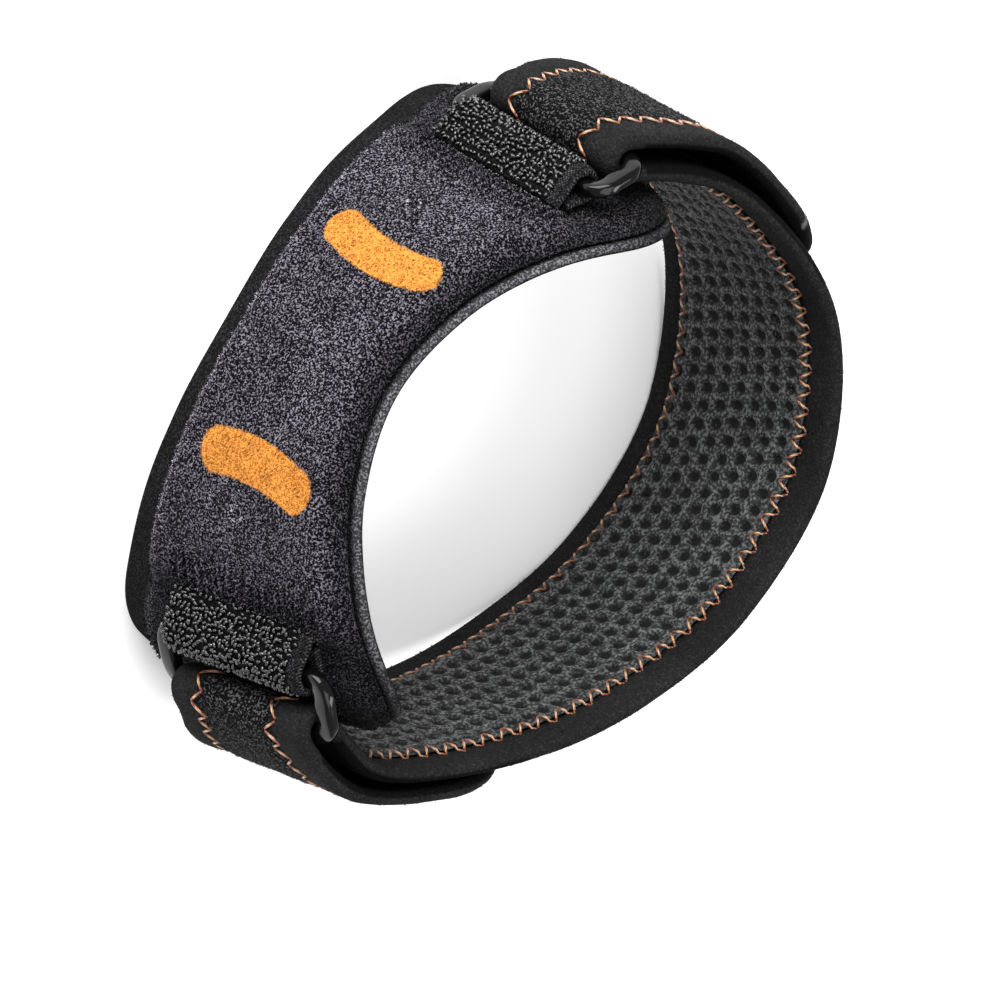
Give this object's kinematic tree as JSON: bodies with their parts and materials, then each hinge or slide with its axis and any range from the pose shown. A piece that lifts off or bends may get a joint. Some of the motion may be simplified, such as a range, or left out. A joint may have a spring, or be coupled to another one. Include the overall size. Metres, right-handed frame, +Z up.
{
  "type": "patellar strap",
  "caption": "Padded knee strap that loops round the leg below the kneecap: waisted plush pad, webbing tabs, oblong buckles and a mesh-lined band whose flaps fold back and fasten.",
  "frame": {"origin": "on the floor under the middle of the loop's bounding box", "axes": "+Z up along the leg's axis, -Y out of the middle of the pad, +X to the pad's right end seen from the front"},
  "size_m": [0.1358, 0.1146, 0.0606],
  "materials": {
    "binding": "smooth black knit edge of the pad",
    "plush": "dark purple-grey short pile with two orange printed shapes",
    "webbing": "coarse black looped webbing",
    "buckle_plastic": "glossy black moulded plastic",
    "strap_cloth": "black brushed loop cloth with orange zigzag seams",
    "mesh": "dark grey honeycomb spacer mesh",
    "fastener": "black woven hook tape"
  },
  "bodies": {
    "root": {"pad_backing": "binding", "front_pad": "plush", "tab_left": "webbing", "tab_right": "webbing", "buckle_left": "buckle_plastic", "buckle_right": "buckle_plastic", "strap": "strap_cloth", "mesh_lining": "mesh", "hook_tab_left": "fastener", "hook_tab_right": "fastener"}
  },
  "joints": []
}
